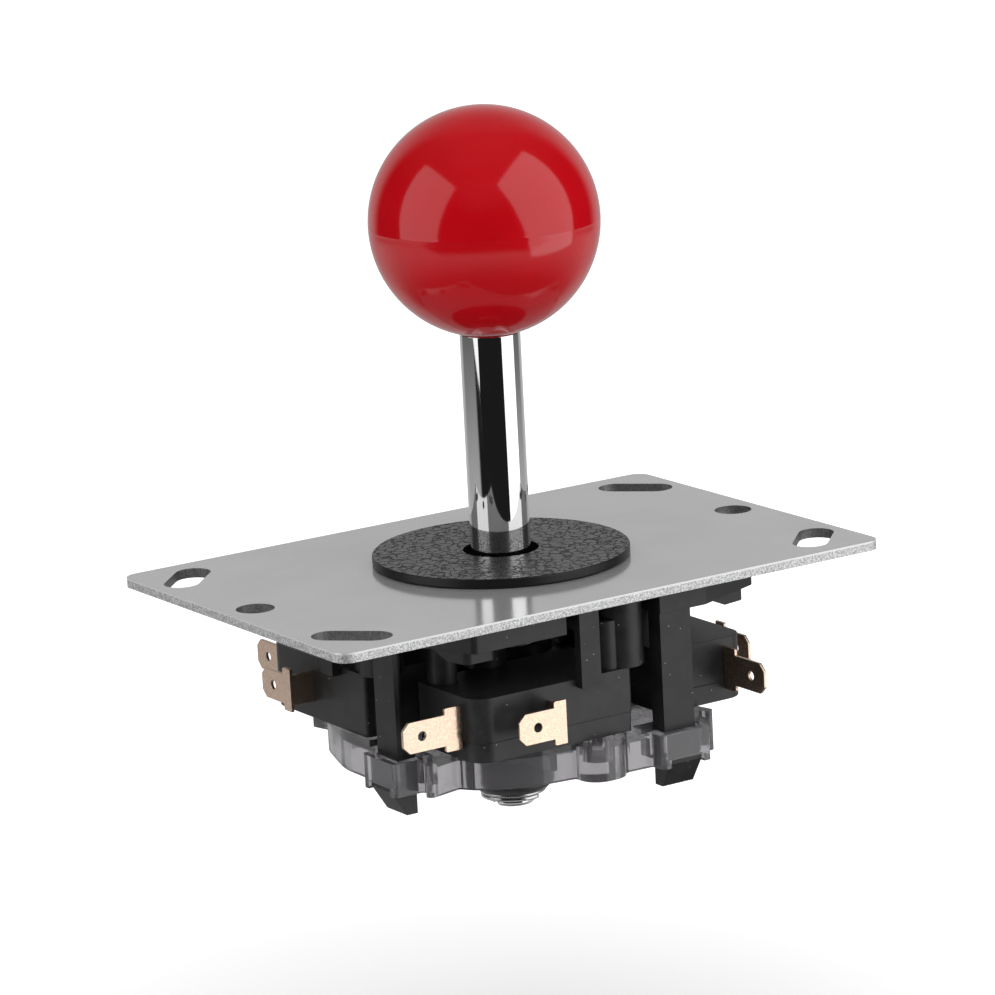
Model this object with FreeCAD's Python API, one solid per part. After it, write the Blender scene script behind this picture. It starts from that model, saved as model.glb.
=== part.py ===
import FreeCAD, Part
import math
import os

# Arcade joystick lever: a ball on a sprung shaft, a steel mounting plate, and below it a moulded
# housing that holds four microswitches in a pinwheel round the lever, closed by a clear gate.
# Millimetres. The origin is the centre of the plate's top face, +Z runs up the lever at rest, and
# +X runs along the plate.

# Driving dimensions: mounting plate
plate_length = 97.0
plate_width = 64.0
plate_thickness = 1.5
plate_corner_radius = 2.4
plate_bore_diameter = 17.0
end_hole_diameter = 5.8
end_hole_inset = 4.8
slot_length = 12.0
slot_width = 5.4
slot_inset_x = 6.9
slot_inset_y = 8.3

# Driving dimensions: dust disc
disc_diameter = 39.4
disc_thickness = 1.4
disc_foot_height = 0.15
disc_foot_width = 2.4
disc_edge = 0.15

# Driving dimensions: lever
ball_diameter = 35.0
ball_centre_height = 52.1
ball_flat_diameter = 11.0
insert_diameter = 9.0
insert_length = 12.0
stud_diameter = 6.0
stud_length = 10.5
shaft_diameter = 9.2
stem_diameter = 6.8
shaft_end_depth = 38.7
shaft_edge = 0.4
driver_slot_width = 1.0
driver_slot_depth = 1.1

# Driving dimensions: pivot and travel
tilt_limit = 7.5
pivot_depth = 4.2
pivot_radius = 6.2
pivot_rise = 2.55
pivot_drop = 3.2
cup_drop = 4.2

# Driving dimensions: return spring and its seat
seat_thickness = 1.0
seat_rim_height = 1.2
seat_rim_width = 1.2
spring_coil_radius = 5.35
spring_wire_diameter = 1.1
spring_turns = 5.0

# Driving dimensions: actuator, washer and clip at the foot of the shaft
actuator_top_depth = 12.6
actuator_cup_radius = 7.0
band_radius = 9.45
band_top_depth = 15.2
band_bottom_depth = 19.2
actuator_floor_depth = 21.2
collar_radius = 6.3
actuator_end_depth = 36.3
actuator_taper = 2.1
washer_diameter = 10.2
washer_thickness = 0.5
clip_diameter = 10.0
clip_thickness = 0.6
clip_band_width = 1.5
clip_prong_width = 2.0
clip_opening = 4.4
groove_depth = 0.6

# Driving dimensions: housing
housing_half_width = 29.4
housing_thickness = 3.5
edge_run_left = 24.5
edge_run_right = 17.0
housing_corner_radius = 1.2
tube_radius = 9.0
corner_pad_height = 2.0
corner_pad_inset = 2.0
corner_pad_width = 5.8
corner_pad_length = 8.6
rib_width = 1.6
rib_height = 3.0
screw_offset = 11.0
screw_boss_diameter = 6.4
post_start = 8.6
post_width = 5.6
post_face = 29.2
post_depth = 3.0
post_wall = 0.8
post_recess = 3.0
post_recess_end_depth = 21.2
post_end_depth = 32.0
barb_reach = 1.4
barb_nose = 1.9
boss_x = 4.2
boss_y = 25.1
boss_diameter = 6.8
prong_centre = -4.3
prong_width = 3.5
prong_depth = 1.5
prong_overlap = 1.2
prong_web = 2.0
edge_recess_start = -8.2
edge_recess_line = 24.2

# Driving dimensions: housing screws
screw_diameter = 3.0
screw_head_diameter = 5.6
screw_head_height = 1.3
screw_length = 9.0
recess_width = 0.8
recess_length = 3.2
recess_depth = 0.7

# Driving dimensions: microswitch
switch_length = 27.8
switch_depth = 15.9
case_height = 6.8
cover_height = 3.0
switch_top_depth = 12.5
switch_face_offset = 12.1
plunger_to_end = 3.9
case_corner_radius = 3.2
case_edge_radius = 0.6
case_wall = 1.2
parting_step = 0.12
fixing_hole_diameter = 3.1
fixing_hole_inset = 2.8
fixing_pin_reach = 3.2
spigot_diameter = 4.6
plunger_width = 3.4
plunger_height = 3.0
plunger_rest_reach = 2.0
plunger_tail = 4.4
plunger_flange = 1.0
terminal_level = 4.6

# Driving dimensions: switch terminals and contact blade
blade_width = 4.75
blade_thickness = 0.5
blade_tip = 1.1
shoulder_width = 6.7
terminal_eye_diameter = 1.4
eye_to_tip = 3.3
end_blade_length = 10.3
end_shoulder_length = 3.0
end_blade_inset = 4.1
side_blade_length = 8.4
side_shoulder_length = 2.2
side_blade_offset = 4.0
side_blade_position = -10.8
terminal_root = 3.0
contact_gap = 0.6
snap_blade_width = 4.0
snap_blade_thickness = 0.3
contact_diameter = 2.4
contact_height = 0.5

# Driving dimensions: restrictor gate
gate_height = 6.2
gate_floor = 2.0
gate_wall = 1.4
gate_rim_height = 6.7
gate_corner_radius = 3.0
strap_height = 5.0
strap_drop = 1.0
strap_wall = 1.6
strap_end_wall = 1.4
notch_diameter = 3.0
notch_x = -1.8
notch_y = -26.6
notch_depth = 3.6
notch_slit = 1.6
gate_rib_width = 1.3
gate_rib_reach = 23.4

# Clearances
running_gap = 0.05
fit_gap = 0.1
post_gap = 0.2

# Values that follow from the sizes above
V = FreeCAD.Vector
up = V(0, 0, 1)
origin = V(0, 0, 0)
plate_bottom = -plate_thickness
end_hole_x = plate_length / 2 - end_hole_inset
slot_x = plate_length / 2 - slot_inset_x
slot_y = plate_width / 2 - slot_inset_y
slab_bottom = plate_bottom - housing_thickness
pivot_z = -pivot_depth
tilt = math.radians(tilt_limit)
corner_tilt = math.atan(math.sqrt(2.0) * math.tan(tilt))
shoulder_z = pivot_z + pivot_rise
cup_radius = pivot_radius + running_gap
cup_bottom = pivot_z - cup_drop
seat_bottom = cup_bottom - seat_thickness
ball_radius = ball_diameter / 2
ball_flat_z = ball_centre_height - math.sqrt(ball_radius ** 2 - (ball_flat_diameter / 2) ** 2)
stem_radius = stem_diameter / 2
stem_bore_radius = stem_radius + running_gap
washer_bottom = -actuator_end_depth - washer_thickness
clip_top = washer_bottom - running_gap
clip_bottom = clip_top - clip_thickness
groove_radius = stem_radius - groove_depth
switch_top = -switch_top_depth
parting_z = switch_top - case_height
switch_bottom = parting_z - cover_height
switch_outer = switch_face_offset + switch_depth
switch_end = plunger_to_end
switch_start = switch_end - switch_length
plunger_z = switch_top - terminal_level
gate_top = switch_bottom
gate_bottom = gate_top - gate_height
gate_rim_bottom = gate_top - gate_rim_height
strap_top = gate_top - strap_drop
strap_bottom = gate_top - strap_height
prong_face = switch_outer + fit_gap
post_end = post_start + post_width


def reach_at(radius, depth, angle):
    """How far a round of this radius on the lever leans out at a height fixed in the housing."""
    return radius / math.cos(angle) + depth * math.tan(angle)


# The band pushes a plunger by its lowest edge, and the gate's rim stops the collar at its own.
band_reach = band_radius * math.cos(tilt) + (band_bottom_depth - pivot_depth) * math.sin(tilt)
plunger_tip = switch_face_offset - plunger_rest_reach
plunger_travel = band_reach - plunger_tip + running_gap
plunger_end = switch_face_offset + plunger_tail
snap_y = -(plunger_end + plunger_travel + fit_gap)
contact_x = switch_start + case_wall + terminal_root
gate_half_width = reach_at(collar_radius, -gate_rim_bottom - pivot_depth, tilt) + running_gap
disc_top = disc_foot_height + disc_thickness
disc_hole_radius = reach_at(shaft_diameter / 2, disc_top + pivot_depth, corner_tilt) + running_gap


def box(x0, x1, y0, y1, z0, z1):
    """A block between two corners."""
    return Part.makeBox(x1 - x0, y1 - y0, z1 - z0, V(x0, y0, z0))


def rod(radius, z0, z1, x=0.0, y=0.0):
    """A round bar along Z between two heights."""
    return Part.makeCylinder(radius, z1 - z0, V(x, y, z0), up)


def turned(profile):
    """A solid of revolution about the lever's axis from (radius, height) points."""
    points = [V(radius, 0, z) for radius, z in profile]
    return Part.Face(Part.makePolygon(points + points[:1])).revolve(origin, up, 360)


def outline(corners, z):
    """A flat face whose corners are (x, y, radius): a radius of 0 leaves the corner sharp."""
    edges = []
    ends = []
    count = len(corners)
    for i, (x, y, radius) in enumerate(corners):
        here = V(x, y, z)
        before = V(corners[i - 1][0], corners[i - 1][1], z) - here
        after = V(corners[(i + 1) % count][0], corners[(i + 1) % count][1], z) - here
        before.normalize()
        after.normalize()
        if radius == 0:
            ends.append((here, here, None))
            continue
        half = before.getAngle(after) / 2
        bisector = (before + after).normalize()
        middle = here + bisector * (radius / math.sin(half) - radius)
        run = radius / math.tan(half)
        ends.append((here + before * run, here + after * run, middle))
    for i, (start, end, middle) in enumerate(ends):
        if middle is not None:
            edges.append(Part.Arc(start, middle, end).toShape())
        following = ends[(i + 1) % count][0]
        if end.distanceToPoint(following) > 1e-6:
            edges.append(Part.LineSegment(end, following).toShape())
    return Part.Face(Part.Wire(edges))


def prism(corners, z0, z1):
    """The outline pulled up from one height to another."""
    return outline(corners, z0).extrude(V(0, 0, z1 - z0))


def rectangle(half_x, half_y, radius):
    """Corners of a centred rectangle."""
    return [(-half_x, -half_y, radius), (half_x, -half_y, radius),
            (half_x, half_y, radius), (-half_x, half_y, radius)]


def quarter_turned(shape, quarters):
    """A copy turned about the lever's axis, seen from above, by quarter turns."""
    copy = shape.copy()
    copy.rotate(origin, up, 90 * quarters)
    return copy


def pinwheel(shape):
    """The shape at the front and its three copies round the lever."""
    return [quarter_turned(shape, quarters) for quarters in range(4)]


def joined(first, others):
    """One solid from pieces that touch or overlap."""
    return first.multiFuse(others).removeSplitter()


def mounting_plate():
    """Stamped steel: two round end holes, four slanted slots, a bore and countersunk holes."""
    plate = prism(rectangle(plate_length / 2, plate_width / 2, plate_corner_radius),
                  plate_bottom, 0.0)
    tools = [rod(plate_bore_diameter / 2, plate_bottom, 0.0)]
    for side in (-1, 1):
        tools.append(rod(end_hole_diameter / 2, plate_bottom, 0.0, side * end_hole_x))
    for side_x in (-1, 1):
        for side_y in (-1, 1):
            slot = prism(rectangle(slot_length / 2, slot_width / 2, slot_width / 2 - 0.001),
                         plate_bottom, 0.0)
            slot.rotate(origin, up, -45 * side_x * side_y)
            slot.translate(V(side_x * slot_x, side_y * slot_y, 0))
            tools.append(slot)
    tools += pinwheel(screw_shape(fit_gap, plate_bottom))
    return plate.cut(tools)


def screw_shape(gap, bottom):
    """A countersunk screw's outline at the front right corner, grown by a gap."""
    radius = screw_diameter / 2 + gap
    head_radius = screw_head_diameter / 2 + gap
    screw = turned([(0, bottom), (radius, bottom), (radius, -screw_head_height),
                    (head_radius, 0.0), (0, 0.0)])
    screw.translate(V(screw_offset, -screw_offset, 0))
    return screw


def housing_screws():
    """Four countersunk screws that hold the housing to the plate, under the dust disc."""
    screw = screw_shape(0.0, -screw_length)
    across = box(-recess_length / 2, recess_length / 2, -recess_width / 2, recess_width / 2,
                 -recess_depth, 1.0)
    along = box(-recess_width / 2, recess_width / 2, -recess_length / 2, recess_length / 2,
                -recess_depth, 1.0)
    cross = across.fuse(along)
    cross.translate(V(screw_offset, -screw_offset, 0))
    return Part.makeCompound(pinwheel(screw.cut(cross)))


def dust_disc():
    """Moulded disc round the shaft: a foot ring keeps its rim just off the plate."""
    foot_inner = plate_bore_diameter / 2 + fit_gap
    foot_outer = foot_inner + disc_foot_width
    rim = disc_diameter / 2
    return turned([(disc_hole_radius, disc_foot_height), (foot_inner, disc_foot_height),
                   (foot_inner, 0.0), (foot_outer, 0.0), (foot_outer, disc_foot_height),
                   (rim - disc_edge, disc_foot_height), (rim, disc_foot_height + disc_edge),
                   (rim, disc_top - disc_edge), (rim - disc_edge, disc_top),
                   (disc_hole_radius, disc_top)])


def ball_top():
    """Moulded ball with a flat underneath and a blind hole for its threaded insert."""
    ball = Part.makeSphere(ball_radius, V(0, 0, ball_centre_height))
    below = box(-ball_radius, ball_radius, -ball_radius, ball_radius,
                ball_centre_height - ball_radius - 1, ball_flat_z)
    return ball.cut([below, rod(insert_diameter / 2, ball_flat_z, ball_flat_z + insert_length)])


def ball_insert():
    """Brass sleeve moulded into the ball, threaded for the shaft's stud."""
    sleeve = rod(insert_diameter / 2, ball_flat_z, ball_flat_z + insert_length)
    return sleeve.cut(rod(stud_diameter / 2 + running_gap, ball_flat_z,
                          ball_flat_z + stud_length + 0.5))


def lever_shaft():
    """Turned and chromed: stud, thick grip length, shoulder, thin stem, clip groove and slot."""
    radius = shaft_diameter / 2
    stud = stud_diameter / 2
    end = -shaft_end_depth
    shaft = turned([
        (0, end), (stem_radius - shaft_edge, end), (stem_radius, end + shaft_edge),
        (stem_radius, clip_bottom - running_gap), (groove_radius, clip_bottom - running_gap),
        (groove_radius, clip_top + running_gap), (stem_radius, clip_top + running_gap),
        (stem_radius, shoulder_z), (radius - shaft_edge, shoulder_z),
        (radius, shoulder_z + shaft_edge), (radius, ball_flat_z - shaft_edge),
        (radius - shaft_edge, ball_flat_z), (stud, ball_flat_z),
        (stud, ball_flat_z + stud_length - shaft_edge),
        (stud - shaft_edge, ball_flat_z + stud_length), (0, ball_flat_z + stud_length)])
    slot = box(-stem_radius, stem_radius, -driver_slot_width / 2, driver_slot_width / 2,
               end, end + driver_slot_depth)
    return shaft.cut(slot)


def pivot_bush():
    """Nylon ball that the stem turns in: flat on top for the shoulder, rocking in the cup."""
    ball = Part.makeSphere(pivot_radius, V(0, 0, pivot_z))
    band = rod(pivot_radius, pivot_z - pivot_drop, shoulder_z)
    return ball.common(band).cut(rod(stem_bore_radius, pivot_z - pivot_radius,
                                     pivot_z + pivot_radius))


def spring_seat():
    """Cupped washer that the spring holds up against the housing's tube."""
    hole = reach_at(stem_radius, -seat_bottom - pivot_depth, corner_tilt) + fit_gap
    rim_inner = spring_coil_radius + spring_wire_diameter / 2 + fit_gap
    rim_outer = rim_inner + seat_rim_width
    rim_bottom = seat_bottom - seat_rim_height
    return turned([(hole, cup_bottom), (hole, seat_bottom), (rim_inner, seat_bottom),
                   (rim_inner, rim_bottom), (rim_outer, rim_bottom), (rim_outer, cup_bottom)])


def return_spring():
    """Round wire helix between the seat and the floor of the actuator's cup."""
    wire_radius = spring_wire_diameter / 2
    bottom = -actuator_floor_depth + wire_radius + fit_gap / 2
    height = seat_bottom - wire_radius - fit_gap / 2 - bottom
    path = Part.Wire(Part.makeHelix(height / spring_turns, height, spring_coil_radius).Edges)
    path.translate(V(0, 0, bottom))
    section = Part.Wire(Part.makeCircle(wire_radius, V(spring_coil_radius, 0, bottom),
                                        V(0, 1, 0)))
    return Part.Solid(path.makePipeShell([section], True, True))


def actuator():
    """Moulded cup and collar: it takes the spring, presses the plungers and meets the gate."""
    cup_inner = spring_coil_radius + spring_wire_diameter / 2 + 2 * fit_gap
    floor = -actuator_floor_depth
    end = -actuator_end_depth
    lip = actuator_cup_radius - cup_inner
    return turned([
        (stem_bore_radius, end), (collar_radius - lip, end), (collar_radius, end + lip),
        (collar_radius, -band_bottom_depth - actuator_taper), (band_radius, -band_bottom_depth),
        (band_radius, -band_top_depth), (actuator_cup_radius, -band_top_depth + lip),
        (actuator_cup_radius, -actuator_top_depth), (cup_inner, -actuator_top_depth),
        (cup_inner, floor), (stem_bore_radius, floor)])


def bottom_washer():
    """Steel washer between the actuator and the clip."""
    washer = rod(washer_diameter / 2, washer_bottom, -actuator_end_depth)
    return washer.cut(rod(stem_bore_radius, washer_bottom, -actuator_end_depth))


def retaining_clip():
    """Stamped E-clip: an open band with three prongs that reach into the shaft's groove."""
    outer = clip_diameter / 2
    inner = outer - clip_band_width
    ring = rod(outer, clip_bottom, clip_top).cut(rod(inner, clip_bottom, clip_top))
    mouth = box(0, outer + 1, -clip_opening / 2, clip_opening / 2, clip_bottom, clip_top)
    prongs = []
    for angle in (90, 180, 270):
        prong = box(0, inner + clip_band_width / 2, -clip_prong_width / 2, clip_prong_width / 2,
                    clip_bottom, clip_top)
        prong.rotate(origin, up, angle)
        prongs.append(prong)
    bore = rod(groove_radius + running_gap, clip_bottom, clip_top)
    clip = joined(ring.cut(mouth), prongs).cut(bore)
    clip.rotate(origin, up, -45)
    return clip


def housing_post():
    """Snap post at the front right: recessed end, and a barb under the strap of the gate."""
    shelf = strap_bottom - running_gap
    inner = -(post_face - post_depth)
    end = -post_end_depth
    side = [V(post_start, -post_face, plate_bottom), V(post_start, -post_face, shelf),
            V(post_start, -post_face - barb_reach, shelf),
            V(post_start, -post_face - barb_reach, shelf - barb_reach / 2),
            V(post_start, inner - barb_nose, end), V(post_start, inner, end),
            V(post_start, inner, plate_bottom)]
    post = Part.Face(Part.makePolygon(side + side[:1])).extrude(V(post_width, 0, 0))
    recess = box(post_end - post_recess, post_end, -post_face + post_wall, inner,
                 -post_recess_end_depth, slab_bottom)
    return post.cut(recess)


def prong():
    """Finger that keeps a switch in its place, on a web from under the slab's recessed edge."""
    start = prong_centre - prong_width / 2
    finger = box(start, start + prong_width, -prong_face - prong_depth, -prong_face,
                 switch_top - prong_overlap, plate_bottom)
    web = box(start, start + prong_web, -prong_face, -edge_recess_line, slab_bottom,
              plate_bottom)
    return finger.fuse(web)


def corner_pad():
    """Thickened pad under the slab's front left corner, with its foot tapered in."""
    outer_x = -edge_run_left - 0.8
    outer_y = -(housing_half_width - corner_pad_inset)
    inner_y = outer_y + corner_pad_length
    bottom = slab_bottom - corner_pad_height
    pad = prism([(outer_x - 0.9, inner_y, 0), (outer_x + 0.6, outer_y, 1.2),
                 (outer_x + corner_pad_width, outer_y, 0.8),
                 (outer_x + corner_pad_width, inner_y, 0)], bottom, slab_bottom)
    ramp = Part.Face(Part.makePolygon([
        V(outer_x - 2, inner_y, slab_bottom), V(outer_x - 2, inner_y, bottom - 1),
        V(outer_x - 2, inner_y - 4.5, bottom - 1), V(outer_x - 2, inner_y - 4.5, bottom),
        V(outer_x - 2, inner_y, slab_bottom)]))
    return pad.cut(ramp.extrude(V(corner_pad_width + 4, 0, 0)))


def fixing_holes():
    """Centres of the two diagonal fixing holes of the front switch."""
    return [(switch_end - fixing_hole_inset, -(switch_outer - fixing_hole_inset)),
            (switch_start + fixing_hole_inset, -(switch_face_offset + fixing_hole_inset))]


def housing():
    """Moulded body: slab, pivot cup, and for each switch a post, boss, prong and two pins."""
    half = housing_half_width
    corners = []
    for quarters in range(4):
        turn = math.radians(90 * quarters)
        for x, y, radius in (
                (-edge_run_left, half, housing_corner_radius), (edge_recess_start, half, 0),
                (edge_recess_start, edge_recess_line, 0), (post_start, edge_recess_line, 0),
                (post_start, half, 0), (edge_run_right, half, housing_corner_radius)):
            corners.append((x * math.cos(turn) + y * math.sin(turn),
                            x * math.sin(turn) - y * math.cos(turn), radius))
    slab = prism(corners, slab_bottom, plate_bottom)

    pieces = [housing_post(), corner_pad(), prong(),
              rod(screw_boss_diameter / 2, switch_top, slab_bottom, screw_offset, -screw_offset),
              rod(boss_diameter / 2, switch_top, plate_bottom, boss_x, -boss_y)]
    for x, y in fixing_holes():
        pieces.append(rod(spigot_diameter / 2, switch_top, slab_bottom, x, y))
        pieces.append(rod(fixing_hole_diameter / 2 - fit_gap, switch_top - fixing_pin_reach,
                          slab_bottom, x, y))
    rib = box(tube_radius - rib_width, screw_offset * math.sqrt(2), -rib_width / 2,
              rib_width / 2, slab_bottom - rib_height, slab_bottom)
    rib.rotate(origin, up, -45)
    pieces.append(rib)
    copies = []
    for piece in pieces:
        copies += pinwheel(piece)
    tube = rod(tube_radius, cup_bottom, slab_bottom)
    body = joined(slab, [tube] + copies)

    cup = Part.makeSphere(cup_radius, V(0, 0, pivot_z))
    mouth = rod(cup_radius, pivot_z, plate_bottom)
    pilots = pinwheel(rod(screw_diameter / 2 + running_gap, -screw_length - fit_gap,
                          plate_bottom, screw_offset, -screw_offset))
    return body.cut([cup, mouth] + pilots)


def gate_outline():
    """Scalloped edge of the gate: four quarters, with a lobe for the notch at front and back."""
    face = post_face + post_gap + strap_wall
    strap_start = post_start - post_gap - strap_end_wall
    strap_end = post_end + post_gap + strap_end_wall
    bulge = notch_diameter / 2 + gate_wall + 0.6
    before = [
        (-face, -strap_end, 0.6),
        (-face + 5.4, -strap_end, 0.5),
        (-face + 3.0, -strap_end - 3.9, 0.8),
        (-21.2, -18.2, 0.6),
        (-19.8, -20.3, 0.6),
        (-13.6, -24.6, 14.0)]
    lobe = [
        (notch_x - bulge, notch_y + 0.9, 0.6),
        (notch_x - bulge, notch_y - bulge, bulge - 0.3),
        (notch_x + bulge, notch_y - bulge, bulge - 0.3),
        (notch_x + bulge + 0.4, -28.2, 0.6)]
    plain = [(-3.0, -28.2, 14.0)]
    after = [
        (strap_start, -28.4, 0.6),
        (strap_start - 0.2, -face, 0.8)]
    corners = []
    for quarters, middle in enumerate((lobe, plain, lobe, plain)):
        turn = math.radians(90 * quarters)
        for x, y, radius in before + middle + after:
            corners.append((x * math.cos(turn) - y * math.sin(turn),
                            x * math.sin(turn) + y * math.cos(turn), radius))
    return corners


def restrictor_gate():
    """Clear moulding: floor under the switches, skirt, square guide and a strap for each post."""
    face = post_face + post_gap + strap_wall
    window = (post_start - post_gap, post_end + post_gap)
    strap = (window[0] - strap_end_wall, window[1] + strap_end_wall)
    window_inner = -(post_face - post_depth - post_gap)
    under_floor = gate_top - gate_floor
    edge = outline(gate_outline(), gate_bottom)
    block = edge.extrude(V(0, 0, gate_height))
    hollow = Part.Face(edge.OuterWire.makeOffset2D(-gate_wall)).extrude(
        V(0, 0, gate_height - gate_floor))
    shell = block.cut(hollow)

    rim_half = gate_half_width + gate_wall
    rim = prism(rectangle(rim_half, rim_half, gate_corner_radius + gate_wall),
                gate_rim_bottom, under_floor)
    frame = box(strap[0], strap[1], -face + strap_wall / 2, window_inner + strap_end_wall,
                strap_bottom, under_floor)
    above_strap = box(strap[0] - 2, strap[1] + 2, -face - 1, window_inner, strap_top,
                      gate_top + 1)
    boss = rod(notch_diameter / 2 + gate_wall, gate_bottom, under_floor, notch_x, notch_y)
    ribs = [box(x - gate_rib_width / 2, x + gate_rib_width / 2, -gate_rib_reach,
                -rim_half + gate_wall / 2, gate_bottom + gate_wall, under_floor)
            for x in (-8.0, 5.0)]
    pieces = [rim, boss, quarter_turned(boss, 2)]
    for piece in [frame] + ribs:
        pieces += pinwheel(piece)
    body = joined(shell, pieces)

    window_tool = box(window[0], window[1], -post_face - post_gap, window_inner,
                      gate_rim_bottom - 1, gate_top + 1)
    below_strap = box(window[0], window[1], -face - 1, window_inner,
                      gate_rim_bottom - 1, strap_bottom)
    notch = rod(notch_diameter / 2, gate_top - notch_depth, gate_top, notch_x, notch_y)
    slit = box(notch_x - 5.5, notch_x, notch_y - notch_slit / 2, notch_y + notch_slit / 2,
               gate_top - notch_depth / 3, gate_top)
    slit.rotate(V(notch_x, notch_y, 0), up, 55)
    tools = [prism(rectangle(gate_half_width, gate_half_width, gate_corner_radius),
                   gate_rim_bottom - 1, gate_top + 1)]
    for tool in (window_tool, below_strap, above_strap):
        tools += pinwheel(tool)
    for tool in (notch, slit):
        tools += [tool, quarter_turned(tool, 2)]
    return body.cut(tools)


def switch_outline(inset):
    """The front switch seen from above, drawn in by an inset."""
    return [(switch_start + inset, -switch_outer + inset, case_corner_radius),
            (switch_end - inset, -switch_outer + inset, case_edge_radius),
            (switch_end - inset, -switch_face_offset - inset, case_edge_radius),
            (switch_start + inset, -switch_face_offset - inset, case_edge_radius)]


def switch_room():
    """The hollow inside a switch, in case and cover together."""
    inside = switch_outline(case_wall)
    room = prism([(x, y, case_edge_radius) for x, y, radius in inside],
                 switch_bottom + case_wall, switch_top - case_wall)
    pillars = [rod(fixing_hole_diameter / 2 + case_wall, switch_bottom, switch_top, x, y)
               for x, y in fixing_holes()]
    keeper = box(-plunger_width / 2 - fit_gap - case_wall, plunger_width / 2 + fit_gap + case_wall,
                 -switch_face_offset - case_wall - plunger_travel, -switch_face_offset,
                 switch_bottom, switch_top)
    return room.cut(pillars + [keeper])


def switch_cuts():
    """Fixing holes, the plunger's channel and the two terminal slots of a switch."""
    tools = [rod(fixing_hole_diameter / 2, switch_bottom, switch_top, x, y)
             for x, y in fixing_holes()]
    tools.append(box(-plunger_width / 2 - fit_gap, plunger_width / 2 + fit_gap,
                     -switch_face_offset - 2 * case_wall - plunger_travel, -switch_face_offset,
                     plunger_z - plunger_height / 2 - fit_gap,
                     plunger_z + plunger_height / 2 + fit_gap))
    tools.append(open_terminal())
    tools.append(common_terminal())
    return tools


def switch_case():
    """Upper shell of a microswitch, with its outer corner rounded."""
    shell = prism(switch_outline(0.0), parting_z, switch_top)
    return shell.cut([switch_room()] + switch_cuts())


def switch_cover():
    """Lid under the case, a little smaller so that the joint shows as a fine line."""
    lid = prism(switch_outline(parting_step), switch_bottom, parting_z)
    return lid.cut([switch_room()] + switch_cuts())


def switch_plunger():
    """Sliding button: a rounded tip outside and a flange that keeps it in the case."""
    half_height = plunger_height / 2
    tip_radius = plunger_width / 2
    stem = prism([(-tip_radius, -plunger_end, 0), (tip_radius, -plunger_end, 0),
                  (tip_radius, -plunger_tip, 0.8), (-tip_radius, -plunger_tip, 0.8)],
                 plunger_z - half_height, plunger_z + half_height)
    flange_face = -switch_face_offset - case_wall - 2 * plunger_travel - fit_gap
    flange = box(-tip_radius - plunger_flange, tip_radius + plunger_flange,
                 -plunger_end, flange_face,
                 plunger_z - half_height, plunger_z + half_height)
    return joined(stem, [flange])


def blade_face(length, shoulder):
    """A quick-connect blade drawn flat: tip at x = -length, root at 0, with its round eye."""
    half = blade_width / 2
    wide = shoulder_width / 2
    blade = outline([(-length, -half + blade_tip, 0.3), (-length + blade_tip, -half, 0.3),
                     (-shoulder, -half, 0), (-shoulder, -wide, 0.3), (0, -wide, 0),
                     (0, wide, 0), (-shoulder, wide, 0.3), (-shoulder, half, 0),
                     (-length + blade_tip, half, 0.3), (-length, half - blade_tip, 0.3)], 0.0)
    solid = blade.extrude(V(0, 0, blade_thickness))
    eye = rod(terminal_eye_diameter / 2, 0.0, blade_thickness, -length + eye_to_tip)
    solid = solid.cut(eye)
    solid.rotate(origin, V(1, 0, 0), 90)
    solid.translate(V(0, blade_thickness / 2, plunger_z))
    return solid


def open_terminal():
    """Normally-open blade: straight out of the switch's far end, its fixed contact inside."""
    blade = blade_face(end_blade_length, end_shoulder_length)
    y = -switch_outer + end_blade_inset
    blade.translate(V(switch_start, y, 0))
    half = blade_width / 2
    riser_x = contact_x - contact_diameter
    fixed_face = snap_y - snap_blade_thickness - contact_height - contact_gap
    root = box(switch_start, riser_x + blade_thickness, y - blade_thickness / 2,
               y + blade_thickness / 2, plunger_z - half, plunger_z + half)
    riser = box(riser_x, riser_x + blade_thickness, y, fixed_face,
                plunger_z - half, plunger_z + half)
    shelf = box(riser_x, contact_x + contact_diameter / 2, fixed_face - blade_thickness,
                fixed_face, plunger_z - half, plunger_z + half)
    return joined(blade, [root, riser, shelf])


def common_terminal():
    """Common blade: out of the switch's outer face, then bent along it towards the far end."""
    blade = blade_face(side_blade_length, side_shoulder_length)
    x = side_blade_position
    y = -switch_outer - side_blade_offset
    blade.translate(V(x, y, 0))
    half = blade_thickness / 2
    leg = box(x - blade_thickness, x, y - half, snap_y - snap_blade_thickness,
              plunger_z - blade_width / 2, plunger_z + blade_width / 2)
    bend = box(x - blade_thickness, x, y - half, y + half,
               plunger_z - shoulder_width / 2, plunger_z + shoulder_width / 2)
    return joined(blade, [leg, bend])


def snap_blade():
    """Contact blade on the common terminal's leg, with the moving contact at its free end."""
    half = snap_blade_width / 2
    under = snap_y - snap_blade_thickness
    strip = box(contact_x - contact_diameter / 2, plunger_width / 2, under, snap_y,
                plunger_z - half, plunger_z + half)
    contact = Part.makeCylinder(contact_diameter / 2, contact_height,
                                V(contact_x, under, plunger_z), V(0, -1, 0))
    return joined(strip, [contact])


def save(name, shape):
    """Write one piece as parts/NAME.step."""
    shape.exportStep("parts/%s.step" % name)


os.makedirs("parts", exist_ok=True)
save("mounting_plate", mounting_plate())
save("housing_screws", housing_screws())
save("dust_disc", dust_disc())
save("ball_top", ball_top())
save("ball_insert", ball_insert())
save("lever_shaft", lever_shaft())
save("pivot_bush", pivot_bush())
save("spring_seat", spring_seat())
save("return_spring", return_spring())
save("actuator", actuator())
save("bottom_washer", bottom_washer())
save("retaining_clip", retaining_clip())
save("housing", housing())
save("restrictor_gate", restrictor_gate())

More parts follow.
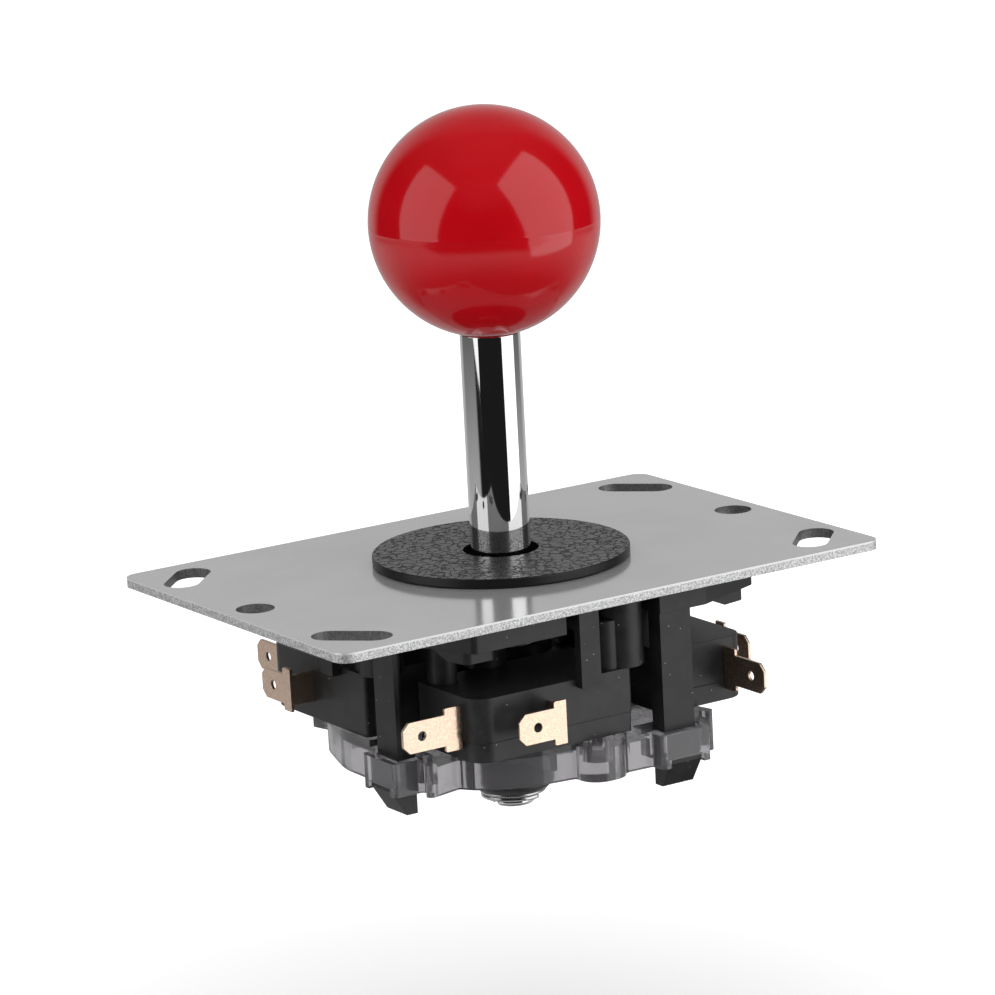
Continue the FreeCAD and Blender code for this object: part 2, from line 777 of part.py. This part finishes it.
switch_pieces = {
    "switch_case": switch_case(),
    "switch_cover": switch_cover(),
    "switch_plunger": switch_plunger(),
    "common_terminal": common_terminal(),
    "open_terminal": open_terminal(),
    "snap_blade": snap_blade(),
}
for quarters, side in enumerate(("front", "right", "back", "left")):
    for name, shape in switch_pieces.items():
        save("%s_%s" % (side, name), quarter_turned(shape, quarters))

print("plunger travel %.3f mm, tip at rest %.2f mm" % (plunger_travel, plunger_tip))
print("gate half width %.2f mm, disc hole diameter %.2f mm"
      % (gate_half_width, 2 * disc_hole_radius))
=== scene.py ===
import bmesh
import bpy
import math
from mathutils import Matrix, Vector


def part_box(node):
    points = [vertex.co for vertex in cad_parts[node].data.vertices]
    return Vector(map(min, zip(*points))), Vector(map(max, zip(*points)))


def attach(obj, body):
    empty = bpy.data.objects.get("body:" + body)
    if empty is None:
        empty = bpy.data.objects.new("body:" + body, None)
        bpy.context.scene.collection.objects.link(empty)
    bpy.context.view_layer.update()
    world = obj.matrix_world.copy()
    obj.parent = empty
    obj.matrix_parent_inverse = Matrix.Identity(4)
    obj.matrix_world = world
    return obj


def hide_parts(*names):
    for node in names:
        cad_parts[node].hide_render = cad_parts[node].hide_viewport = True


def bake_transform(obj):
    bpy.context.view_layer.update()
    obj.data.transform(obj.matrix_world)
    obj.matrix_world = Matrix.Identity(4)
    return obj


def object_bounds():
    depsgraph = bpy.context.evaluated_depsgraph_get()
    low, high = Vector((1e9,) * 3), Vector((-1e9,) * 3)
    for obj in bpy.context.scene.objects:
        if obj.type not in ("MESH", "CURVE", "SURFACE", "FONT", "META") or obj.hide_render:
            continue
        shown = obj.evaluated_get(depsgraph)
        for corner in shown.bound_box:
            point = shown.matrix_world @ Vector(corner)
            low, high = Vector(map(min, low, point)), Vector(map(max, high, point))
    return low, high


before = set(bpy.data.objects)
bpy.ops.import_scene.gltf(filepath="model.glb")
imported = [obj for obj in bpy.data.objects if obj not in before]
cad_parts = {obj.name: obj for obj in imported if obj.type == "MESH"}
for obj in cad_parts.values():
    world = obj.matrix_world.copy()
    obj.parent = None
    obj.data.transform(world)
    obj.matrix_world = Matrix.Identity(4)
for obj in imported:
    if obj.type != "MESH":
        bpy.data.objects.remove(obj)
cad_low, cad_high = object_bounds()
scene = bpy.context.scene
scene.view_settings.view_transform = "Standard"
mm = 0.001

# Camera: in front of the lever and to its left, looking 13 degrees down with a long lens.
# Its place was solved from the plate's outline, the holes, the disc and the ball.
camera_azimuth = math.radians(-32.832)
camera_elevation = math.radians(13.130)
camera_roll = math.radians(-2.933)
camera_distance = 758.0 * mm
camera_target = Vector((1.13, 1.97, 8.89)) * mm
sensor_width = 36.0
lens_length = 179.83
nearest_seen = 10 * mm


def placed(name, data):
    """A new object of the scene that shows this mesh, lamp or camera."""
    thing = bpy.data.objects.new(name, data)
    scene.collection.objects.link(thing)
    return thing


towards_camera = Vector((math.sin(camera_azimuth) * math.cos(camera_elevation),
                         -math.cos(camera_azimuth) * math.cos(camera_elevation),
                         math.sin(camera_elevation)))
level_right = (-towards_camera).cross(Vector((0, 0, 1))).normalized()
level_up = towards_camera.cross(level_right)
right = level_right * math.cos(camera_roll) + level_up * math.sin(camera_roll)
above = level_up * math.cos(camera_roll) - level_right * math.sin(camera_roll)
lens = bpy.data.cameras.new("camera")
lens.sensor_width = sensor_width
lens.lens = lens_length
lens.clip_start = nearest_seen
camera = placed("camera", lens)
stand = Matrix((right, above, towards_camera)).transposed().to_4x4()
camera.matrix_world = Matrix.Translation(camera_target + towards_camera * camera_distance) @ stand
scene.camera = camera


# Studio: white to the camera and through the clear gate. What shines mirrors a dark room with a
# pale table below it and a pale wall behind the lever, and what is dull is lit more from behind.
class Value:
    """A shader socket: arithmetic on it adds Math nodes, and node() adds any other kind."""

    noise_middle = (0.3, 0.7)

    def __init__(self, tree, socket):
        self.tree = tree
        self.socket = socket

    def feed(self, node, inputs):
        """Links a node's inputs to other values, or sets them to plain ones."""
        for key, given in inputs.items():
            if isinstance(given, Value):
                self.tree.links.new(given.socket, node.inputs[key])
            else:
                node.inputs[key].default_value = given

    def node(self, kind, settings, inputs, output=0):
        """One output of a new node of this kind."""
        made = self.tree.nodes.new("ShaderNode" + kind)
        for name, setting in settings.items():
            setattr(made, name, setting)
        self.feed(made, inputs)
        return Value(self.tree, made.outputs[output])

    def beside(self, output):
        """Another output of the node that this one comes from."""
        return Value(self.tree, self.socket.node.outputs[output])

    def math(self, operation, second=0.0):
        return self.node("Math", {"operation": operation}, {0: self, 1: second})

    def __add__(self, other):
        return self.math("ADD", other)

    __radd__ = __add__

    def __sub__(self, other):
        return self.math("SUBTRACT", other)

    def __rsub__(self, other):
        return self.node("Math", {"operation": "SUBTRACT"}, {0: other, 1: self})

    def __mul__(self, other):
        return self.math("MULTIPLY", other)

    __rmul__ = __mul__

    def __pow__(self, power):
        return self.math("POWER", power)

    def vector_math(self, operation, inputs, output=0):
        return self.node("VectorMath", {"operation": operation}, {0: self, **inputs}, output)

    def axis(self, letter):
        """The X, Y or Z of a vector."""
        return self.node("SeparateXYZ", {}, {0: self}, letter)

    def stretched(self, scale):
        """A vector with each of its axes multiplied by its own number."""
        return self.node("Mapping", {}, {"Vector": self, "Scale": scale})

    def noise(self, scale, detail, roughness=0.5, output=0):
        """Noise at this place."""
        return self.node("TexNoise", {}, {"Vector": self, "Scale": scale, "Detail": detail,
                                          "Roughness": roughness}, output)

    def rise(self, start, end):
        """0 below start, 1 above end, and a smooth step between them."""
        return self.node("MapRange", {"interpolation_type": "SMOOTHSTEP"},
                         {"Value": self, "From Min": start, "From Max": end})

    def blend(self, first, second):
        """The first colour where this value is 0 and the second where it is 1."""
        return self.node("Mix", {"data_type": "RGBA"}, {0: self, 6: first, 7: second}, 2)

    def mottle(self, first, second):
        """From the first colour to the second over the middle of a noise's range."""
        return self.rise(*self.noise_middle).blend(first, second)

    def bump(self, strength, distance):
        """The normal of a surface with this value as its relief."""
        return self.node("Bump", {}, {"Strength": strength, "Distance": distance, "Height": self})

    def dress(self, inputs):
        """Sets or links inputs of the tree's Principled shader."""
        self.feed(self.tree.nodes["Principled BSDF"], inputs)


room_front = 0.24
room_behind = 0.80
dark_room = 0.012
ceiling_glow = 0.10
table_edge = -0.165
table_drop = 0.16
table_level = 0.62
table_under = 0.08
wall_side = 0.60
wall_top = 0.24
wall_level = 0.50
wall_high = 0.22
edge_softness = 0.10
wall_softness = 0.22
table_turn = (0.3, 0.7)
table_fade = (-0.8, -0.3)
wall_fade = (0.2, 0.9)
ceiling_fade = (0.3, 1.0)
room_fade = (-0.2, 0.7)

world = bpy.data.worlds.new("studio")
world.use_nodes = True
scene.world = world
sky_tree = world.node_tree
sky = Value(sky_tree, sky_tree.nodes.new("ShaderNodeTexCoord").outputs["Generated"])
# A direction's part towards the camera is ahead, and its height is upward, both from -1 to 1.
level_ahead = Vector((towards_camera.x, towards_camera.y, 0)).normalized()
ahead = sky.vector_math("DOT_PRODUCT", {1: level_ahead}, "Value")
astern = ahead * -1.0
upward = sky.axis("Z")
level_run = (1.0 - upward * upward).math("MAXIMUM", 0.0) ** 0.5
behind = (astern - wall_side * level_run).rise(0.0, wall_softness)
low_enough = (astern - wall_top).rise(0.0, edge_softness)
table = (table_edge - ahead.rise(*table_turn) * table_drop - upward).rise(0.0, edge_softness)
wall = behind * low_enough
wall_light = wall_level + upward.rise(*wall_fade) * (wall_high - wall_level)
table_light = table_under + upward.rise(*table_fade) * (table_level - table_under)
glow = upward.rise(*ceiling_fade) * ceiling_glow + dark_room
mirrored = glow + table * (table_light - glow)
mirrored = mirrored + wall * (wall_light - mirrored)
room = room_front + astern.rise(*room_fade) * (room_behind - room_front)
camera_ray = sky.node("LightPath", {}, {}, "Is Camera Ray")
glossy_ray = camera_ray.beside("Is Glossy Ray")
seen = camera_ray.math("MAXIMUM", camera_ray.beside("Is Transmission Ray"))
unseen_level = glossy_ray * mirrored + (1.0 - glossy_ray) * room
sky.feed(sky_tree.nodes["Background"],
         {"Color": (1, 1, 1, 1), "Strength": seen + (1.0 - seen) * unseen_level})


# Soft boxes: two tall ones beside the camera, which light the object and show on the ball and as
# white stripes on the shaft, and two that only light it, overhead and over the camera.
def soft_box(name, sideways, upwards, turn, distance, width, height, radiance):
    """A lamp that faces the lever, from these degrees to the camera's right and above level."""
    angle = math.atan2(towards_camera.y, towards_camera.x) + math.radians(sideways)
    rise = math.radians(upwards)
    place = Vector((math.cos(angle) * math.cos(rise), math.sin(angle) * math.cos(rise),
                    math.sin(rise))) * distance
    lamp = bpy.data.lights.new(name, "AREA")
    lamp.shape = "RECTANGLE"
    lamp.size = width
    lamp.size_y = height
    lamp.energy = radiance * math.pi * width * height
    holder = placed(name, lamp)
    holder.location = place
    facing = place.to_track_quat("Z", "Y").to_matrix()
    holder.rotation_euler = (facing @ Matrix.Rotation(math.radians(turn), 3, "Z")).to_euler()
    return holder


soft_box("soft_box_right", sideways=64.9, upwards=18.7, turn=11.7, distance=700 * mm,
         width=793 * mm, height=1237 * mm, radiance=1.4)
soft_box("soft_box_left", sideways=-67.0, upwards=21.0, turn=-5.9, distance=700 * mm,
         width=607 * mm, height=800 * mm, radiance=1.15)
overhead = soft_box("soft_box_top", sideways=0.0, upwards=89.0, turn=0.0, distance=1000 * mm,
                    width=900 * mm, height=900 * mm, radiance=1.3)
overhead.visible_glossy = False
fill = soft_box("soft_box_over_camera", sideways=0.0, upwards=38.0, turn=0.0,
                distance=900 * mm, width=700 * mm, height=500 * mm, radiance=1.5)
fill.visible_glossy = False

# Floor: plain and pale, some way below the lever, because the lever hangs in its plate. It looks
# white to the camera and through the gate, less the lever's shadow.
floor_gap = 45 * mm
floor_radius = 2500 * mm
floor_sides = 64
floor_white = (0.86, 0.86, 0.86, 1)
floor_lift = 0.08
floor_far_lift = 0.5
shadow_core = 52
shadow_reach = 260


def shaped(form, name):
    """An object with this bmesh form as its mesh. The form is freed."""
    mesh = bpy.data.meshes.new(name)
    form.to_mesh(mesh)
    form.free()
    return placed(name, mesh)


def new_finish(name):
    """A new material, and the place of a point on the object in mm as a shader value."""
    material = bpy.data.materials.new(name)
    material.use_nodes = True
    tree = material.node_tree
    place = Value(tree, tree.nodes.new("ShaderNodeTexCoord").outputs["Object"])
    return material, place.vector_math("SCALE", {3: 1 / mm})


plane = bmesh.new()
bmesh.ops.create_circle(plane, cap_ends=True, radius=floor_radius, segments=floor_sides,
                        matrix=Matrix.Translation((0, 0, cad_low.z - floor_gap)))
floor = shaped(plane, "floor")
floor.visible_glossy = False

floor_paint, place = new_finish("floor_paint")
eye = place.node("LightPath", {}, {}, "Is Camera Ray")
lift = eye.math("MAXIMUM", eye.beside("Is Transmission Ray"))
away = place.vector_math("LENGTH", {}, "Value")
place.dress({
    "Base Color": floor_white, "Roughness": 0.9, "Specular IOR Level": 0.0,
    "Emission Color": lift * (floor_lift + away.rise(shadow_core, shadow_reach) * floor_far_lift),
    "Emission Strength": 1.0})
floor.data.materials.append(floor_paint)

# Mounting plate: stamped from 1.5 mm zinc-plated steel, satin like a dull mirror on its faces.
# The die rolls its upper edge a little and leaves the sheared sides torn. The outer sides are
# painted light, as a painted highlight that is brightest along the rolled upper edge, and those
# of the holes are painted dark, as painted shade inside the holes. Lengths that a finish reads
# are in mm from the part's origin.
plate_edge = 0.22 * mm
merge_gap = 0.001 * mm
flat_angle = math.radians(1.0)
bevel_angle = math.radians(32)
bevel_rows = 2
outer_x = 47.9
outer_y = 31.5
outer_blend = 0.3
# Heights of the painted highlight on the rolled top, and the torn mottle's ranges on the painted
# light outer sides and in the painted shade of the holes.
top_highlight_heights = (-0.34, -0.22)
outer_side_highlight_range = (0.40, 0.60)
hole_side_shade_range = (0.40, 0.65)
steep_range = (0.2, 0.8)


def softened(node, name, edge, weld=0.0):
    """A merged copy of a CAD node with each hard edge rounded by a small bevel.

    Points of the bevel nearer to each other than weld are then made one."""
    form = bmesh.new()
    form.from_mesh(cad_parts[node].data)
    bmesh.ops.remove_doubles(form, verts=form.verts, dist=merge_gap)
    bmesh.ops.dissolve_limit(form, angle_limit=flat_angle, verts=form.verts, edges=form.edges,
                             delimit=set())
    piece = shaped(form, name)
    piece.data.shade_smooth()
    rounding = piece.modifiers.new("edge", "BEVEL")
    rounding.width = edge
    rounding.segments = bevel_rows
    rounding.limit_method = "ANGLE"
    rounding.angle_limit = bevel_angle
    if weld:
        closing = piece.modifiers.new("weld", "WELD")
        closing.merge_threshold = weld
    even = piece.modifiers.new("even", "WEIGHTED_NORMAL")
    even.keep_sharp = True
    return piece


def fit(piece, body, node, material):
    """Hangs a piece on its body in place of a CAD node, in its finish."""
    piece.data.materials.clear()
    piece.data.materials.append(material)
    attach(piece, body)
    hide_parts(node)


plate_steel, place = new_finish("plate_steel")
upright = place.node("NewGeometry", {}, {}, "Normal").axis("Z")
side_mask = 1.0 - (upright * upright).rise(*steep_range)
streaks = place.stretched((0.06, 1.6, 1.0)).noise(1.0, 6.0)
clouds = place.noise(0.07, 4.0)
grain = place.noise(7.0, 4.0)
torn = place.noise(3.6, 8.0, roughness=0.75)
inner = (1.0 - place.axis("X").math("ABSOLUTE").rise(outer_x - outer_blend, outer_x)) * (
    1.0 - place.axis("Y").math("ABSOLUTE").rise(outer_y - outer_blend, outer_y))
face_colour = (clouds * 0.6 + streaks * 0.4).mottle((0.55, 0.55, 0.555, 1),
                                                    (0.60, 0.60, 0.605, 1))
# Outer sides: the torn mottle, painted light, with a painted highlight along the rolled upper
# edge.
torn_and_top_highlight = torn.rise(*outer_side_highlight_range) + place.axis("Z").rise(*top_highlight_heights)
painted_outer_side_highlight = torn_and_top_highlight.math("MINIMUM", 1.0).blend((0.34, 0.34, 0.35, 1), (0.82, 0.82, 0.82, 1))
# Sides of the holes: the torn mottle, painted dark as painted shade inside the holes.
painted_hole_side_shade = torn.rise(*hole_side_shade_range).blend((0.13, 0.13, 0.13, 1), (0.26, 0.26, 0.26, 1))
relief = grain * 0.08 + streaks * 0.04 + side_mask * torn * 3.0
place.dress({
    "Base Color": side_mask.blend(face_colour, inner.blend(painted_outer_side_highlight, painted_hole_side_shade)),
    "Metallic": 0.62, "Roughness": 0.08 + 0.10 * grain + side_mask * 0.25,
    "Normal": relief.bump(0.5, 0.05 * mm)})
fit(softened("mounting_plate", "stamped_plate", plate_edge), "base", "mounting_plate",
    plate_steel)

# Housing: one black moulding under the plate, with the switches' posts, bosses and pins.
# Satin from the tool, a little dusty, with its edges just broken.
moulded_edge = 0.15 * mm
dust_colour = (0.55, 0.55, 0.53, 1)
dust_cover = 0.6
dust_range = (0.035, 0.06)


def moulded_black(name, low, high, roughness):
    """Black moulding compound: faint mottling, fine tool texture and a few specks of dust."""
    material, place = new_finish(name)
    cloud = place.noise(0.35, 5.0)
    texture = place.noise(9.0, 3.0)
    scatter = place.node("TexVoronoi", {}, {"Vector": place, "Scale": 0.55})
    dust = (1.0 - scatter.rise(*dust_range)) * dust_cover
    black = cloud.mottle((low, low, low * 1.03, 1), (high, high, high * 1.03, 1))
    place.dress({
        "Base Color": dust.blend(black, dust_colour),
        "Roughness": roughness + 0.10 * cloud + 0.06 * texture,
        "Normal": texture.bump(0.25, 0.03 * mm)})
    return material


housing_black = moulded_black("housing_black", 0.009, 0.017, 0.36)
fit(softened("housing", "moulded_housing", moulded_edge), "base", "housing",
    housing_black)

# Housing screws: four small countersunk steel screws through the plate, under the dust disc.
# Turned, cross recessed and bright plated.
screw_edge = 0.06 * mm


def bright_steel(name, level, roughness):
    """Bright plated steel with faint turning marks."""
    material, place = new_finish(name)
    marks = place.noise(5.0, 5.0)
    place.dress({
        "Base Color": marks.mottle((level * 0.88, level * 0.88, level * 0.9, 1),
                                   (level, level, level * 1.01, 1)),
        "Metallic": 1.0, "Roughness": roughness + 0.12 * marks,
        "Normal": marks.bump(0.2, 0.02 * mm)})
    return material


screw_steel = bright_steel("screw_steel", 0.62, 0.2)
fit(softened("housing_screws", "countersunk_screws", screw_edge), "base", "housing_screws",
    screw_steel)

# Pivot bush and spring seat: inside the housing's tube, turned and moulded from natural nylon.
# The bush is the ball that the lever rocks on, and the seat carries the spring's upper end.
nylon_edge = 0.1 * mm
bush_nylon, place = new_finish("bush_nylon")
cloud = place.noise(0.5, 4.0)
place.dress({
    "Base Color": cloud.mottle((0.66, 0.65, 0.60, 1), (0.76, 0.75, 0.70, 1)),
    "Roughness": 0.32 + 0.12 * cloud, "Subsurface Weight": 0.1,
    "Subsurface Radius": (0.002, 0.0018, 0.0015)})
fit(softened("pivot_bush", "nylon_pivot_bush", nylon_edge), "rocker", "pivot_bush",
    bush_nylon)
fit(softened("spring_seat", "nylon_spring_seat", nylon_edge), "base", "spring_seat",
    bush_nylon)

# Return spring: drawn and coiled steel wire between the seat's rim and the lip of the actuator's
# cup. It is cut in two halfway between them, into its end at the seat and its coils in the cup.
seat_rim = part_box("spring_seat")[0].z
cup_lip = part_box("actuator")[1].z
bend_middle = (seat_rim + cup_lip) / 2
sharp_angle = math.radians(40)


def cut_off(form, level, outward):
    """Clears a form above or below a level, and returns the edges of the cut."""
    cut = bmesh.ops.bisect_plane(form, geom=form.verts[:] + form.edges[:] + form.faces[:],
                                 plane_co=(0, 0, level), plane_no=(0, 0, outward),
                                 clear_outer=True)
    return [item for item in cut["geom_cut"] if isinstance(item, bmesh.types.BMEdge)]


def part_spring(name, outward):
    """The spring above or below the level halfway between the seat's rim and the cup's lip,
    closed at the cut.
    """
    form = bmesh.new()
    form.from_mesh(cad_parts["return_spring"].data)
    bmesh.ops.remove_doubles(form, verts=form.verts, dist=merge_gap)
    bmesh.ops.edgeloop_fill(form, edges=cut_off(form, bend_middle, outward))
    bmesh.ops.recalc_face_normals(form, faces=form.faces)
    piece = shaped(form, name)
    piece.data.shade_smooth()
    piece.data.set_sharp_from_angle(angle=sharp_angle)
    piece.data.materials.append(spring_steel)
    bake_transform(piece)
    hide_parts("return_spring")


spring_steel = bright_steel("spring_steel", 0.5, 0.24)
part_spring("spring_end_at_seat", -1)
part_spring("spring_coils_in_cup", 1)

# Lever shaft: turned steel with a mirror of chrome, a thick grip length above the pivot and a
# thin stem below it, with a groove for the clip and a driver slot in its end.
shaft_edge = 0.12 * mm
shaft_chrome, place = new_finish("shaft_chrome")
polish = place.stretched((0.5, 0.5, 0.12)).noise(1.0, 2.0)
place.dress({
    "Base Color": polish.mottle((0.80, 0.80, 0.81, 1), (0.84, 0.84, 0.84, 1)),
    "Metallic": 1.0, "Roughness": 0.02 + 0.03 * polish,
    "Normal": polish.bump(0.04, 0.02 * mm)})
fit(softened("lever_shaft", "chromed_shaft", shaft_edge), "lever", "lever_shaft",
    shaft_chrome)

# Ball top: moulded in a tool of two halves and polished, red all through. The fine witness line
# of the tool runs round its middle, and the brass insert sits flush in the flat underneath.
ball_low, ball_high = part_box("ball_top")
ball_radius = (ball_high.x - ball_low.x) / 2
ball_centre = Vector((0, 0, ball_high.z - ball_radius))
insert_low, insert_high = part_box("ball_insert")
insert_radius = (insert_high.x - insert_low.x) / 2
witness_width = 0.10 * mm
witness_height = 0.012 * mm
equator_gap = 0.01 * mm
ball_segments = 160
ball_rings = 80


def at_equator(vertex):
    return abs(vertex.co.z) < equator_gap


form = bmesh.new()
bmesh.ops.create_uvsphere(form, u_segments=ball_segments, v_segments=ball_rings,
                          radius=ball_radius)
equator = [edge for edge in form.edges if all(at_equator(vertex) for vertex in edge.verts)]
bmesh.ops.bevel(form, geom=equator, affect="EDGES", offset=witness_width,
                segments=bevel_rows, profile=0.5, material=-1)
for vertex in form.verts:
    if at_equator(vertex):
        vertex.co *= 1 + witness_height / ball_radius
bmesh.ops.translate(form, verts=form.verts, vec=ball_centre)
rim = cut_off(form, ball_low.z, -1)
flat = bmesh.ops.contextual_create(form, geom=rim)["faces"]
flat_radius = max(vertex.co.xy.length for vertex in flat[0].verts)
bmesh.ops.inset_region(form, faces=flat, thickness=flat_radius - insert_radius)
hole = bmesh.ops.extrude_face_region(form, geom=flat)
bmesh.ops.delete(form, geom=flat, context="FACES_ONLY")
bmesh.ops.translate(form, vec=(0, 0, insert_high.z - insert_low.z),
                    verts=[item for item in hole["geom"] if isinstance(item, bmesh.types.BMVert)])
bmesh.ops.recalc_face_normals(form, faces=form.faces)
ball = shaped(form, "polished_ball")
ball.data.shade_smooth()
ball.data.set_sharp_from_angle(angle=sharp_angle)

ball_red, place = new_finish("ball_red")
flow = place.noise(0.06, 3.0)
ripple = place.noise(0.35, 2.0)
place.dress({
    "Base Color": flow.mottle((0.42, 0.0015, 0.005, 1), (0.46, 0.002, 0.007, 1)),
    "Roughness": 0.09 + 0.03 * ripple, "IOR": 1.54,
    "Normal": ripple.bump(0.10, 0.05 * mm)})
fit(ball, "lever", "ball_top", ball_red)

# Ball insert: a turned brass sleeve moulded into the ball, threaded for the shaft's stud.
# Only its end shows, level with the flat under the ball.
insert_edge = 0.08 * mm
insert_brass, place = new_finish("insert_brass")
turning = place.noise(4.0, 4.0)
place.dress({
    "Base Color": turning.mottle((0.66, 0.47, 0.20, 1), (0.78, 0.58, 0.28, 1)),
    "Metallic": 1.0, "Roughness": 0.25 + 0.12 * turning})
fit(softened("ball_insert", "brass_insert", insert_edge), "lever", "ball_insert",
    insert_brass)

# Dust disc: moulded black plastic that lies on the plate round the shaft. Its top has a leather
# grain of small scales with creases between them, and its rim and foot are left smooth. The
# creases, the rim and the foot are painted near-black, as painted shade.
disc_edge = 0.05 * mm
scale_density = 0.62
scale_bend = 2.1
crease_range = (0.02, 0.10)
top_range = (0.85, 0.97)
# Near-black of the painted shade in the creases and on the rim and foot.
painted_shade_black = (0.002, 0.002, 0.002, 1)
scale_black = (0.040, 0.040, 0.040, 1)
disc_plastic, place = new_finish("disc_plastic")
top_mask = place.node("NewGeometry", {}, {}, "Normal").axis("Z").rise(*top_range)
wander = place.noise(0.8, 3.0, output="Color").vector_math("SCALE", {3: scale_bend})
scales = place.node("TexVoronoi", {"feature": "DISTANCE_TO_EDGE"},
                    {"Vector": place.vector_math("ADD", {1: wander}), "Scale": scale_density})
pebbles = place.noise(4.0, 4.0)
crease_and_painted_shade = 1.0 - scales.rise(*crease_range)
place.dress({
    # Painted shade: the creases and the whole rim and foot take the near-black, and only the
    # scales keep the plastic's own black.
    "Base Color": (top_mask * (1.0 - crease_and_painted_shade)).blend(painted_shade_black, scale_black),
    "Roughness": 0.40 + top_mask * (-0.18 + 0.12 * pebbles + 0.25 * crease_and_painted_shade),
    "Normal": (top_mask * (pebbles * 0.15 - crease_and_painted_shade)).bump(1.0, 0.25 * mm)})
fit(softened("dust_disc", "grained_dust_disc", disc_edge), "base", "dust_disc",
    disc_plastic)

# Actuator: a moulded cup and collar on the stem. The cup holds the spring's foot, its band works
# the switches and the collar meets the gate.
actuator_edge = 0.15 * mm
actuator_black = moulded_black("actuator_black", 0.024, 0.034, 0.3)
fit(softened("actuator", "moulded_actuator", actuator_edge), "lever", "actuator",
    actuator_black)

# Washer and clip: a plain bright washer under the collar, held by an E-clip of spring steel that
# snaps into the stem's groove.
washer_edge = 0.1 * mm
clip_edge = 0.08 * mm
clip_steel = bright_steel("clip_steel", 0.66, 0.14)
fit(softened("bottom_washer", "bright_washer", washer_edge), "lever", "bottom_washer",
    screw_steel)
fit(softened("retaining_clip", "spring_clip", clip_edge), "lever", "retaining_clip",
    clip_steel)

# Microswitches: four alike in a pinwheel. Each is a black case with a lid under it, a plunger,
# a copper snap blade inside, and two stamped terminals with a pale, sparkling plating.
case_edge = 0.12 * mm
plunger_edge = 0.15 * mm
blade_edge = 0.06 * mm
switch_weld = 0.0005 * mm
fleck_range = (0.5, 1.0)
switch_black = moulded_black("switch_black", 0.012, 0.021, 0.33)
plunger_black = moulded_black("plunger_black", 0.03, 0.04, 0.2)

terminal_metal, place = new_finish("terminal_metal")
sparkle = place.node("TexVoronoi", {}, {"Vector": place, "Scale": 5.5}, "Color")
hue = sparkle.axis("X")
glint = sparkle.axis("Y")
pale = hue.blend((0.76, 0.56, 0.44, 1), (0.67, 0.48, 0.39, 1))
place.dress({
    "Base Color": glint.rise(*fleck_range).blend(pale, (0.84, 0.70, 0.50, 1)), "Metallic": 0.98,
    "Roughness": 0.11 + 0.15 * glint, "Normal": glint.bump(0.26, 0.05 * mm)})

blade_copper, place = new_finish("blade_copper")
roll = place.noise(3.0, 4.0)
place.dress({
    "Base Color": roll.mottle((0.62, 0.34, 0.20, 1), (0.74, 0.45, 0.28, 1)),
    "Metallic": 1.0, "Roughness": 0.25 + 0.1 * roll})

for side in ("front", "right", "back", "left"):
    for part, made, edge, slot, material in (
            ("switch_case", "moulded_", case_edge, "switch_black", switch_black),
            ("switch_cover", "moulded_", case_edge, "switch_black", switch_black),
            ("common_terminal", "stamped_", blade_edge, "terminal_metal", terminal_metal),
            ("open_terminal", "stamped_", blade_edge, "terminal_metal", terminal_metal),
            ("snap_blade", "stamped_", blade_edge, "blade_copper", blade_copper)):
        node = side + "_" + part
        fit(softened(node, made + node, edge, switch_weld), "base", node, material)
    node = side + "_switch_plunger"
    fit(softened(node, "moulded_" + node, plunger_edge), side + "_button", node,
        plunger_black)

# Restrictor gate: a clear moulding snapped under the switches, its square hole limits the lever.
# Polycarbonate with a faint purple cast and slightly wavy walls.
gate_edge = 0.18 * mm
gate_clear, place = new_finish("gate_clear")
waves = place.noise(0.3, 2.0)
place.dress({
    "Base Color": (0.31, 0.30, 0.315, 1), "Roughness": 0.06 + 0.10 * waves, "IOR": 1.45,
    "Transmission Weight": 0.83, "Normal": waves.bump(0.25, 0.2 * mm)})
fit(softened("restrictor_gate", "clear_gate", gate_edge), "base", "restrictor_gate",
    gate_clear)
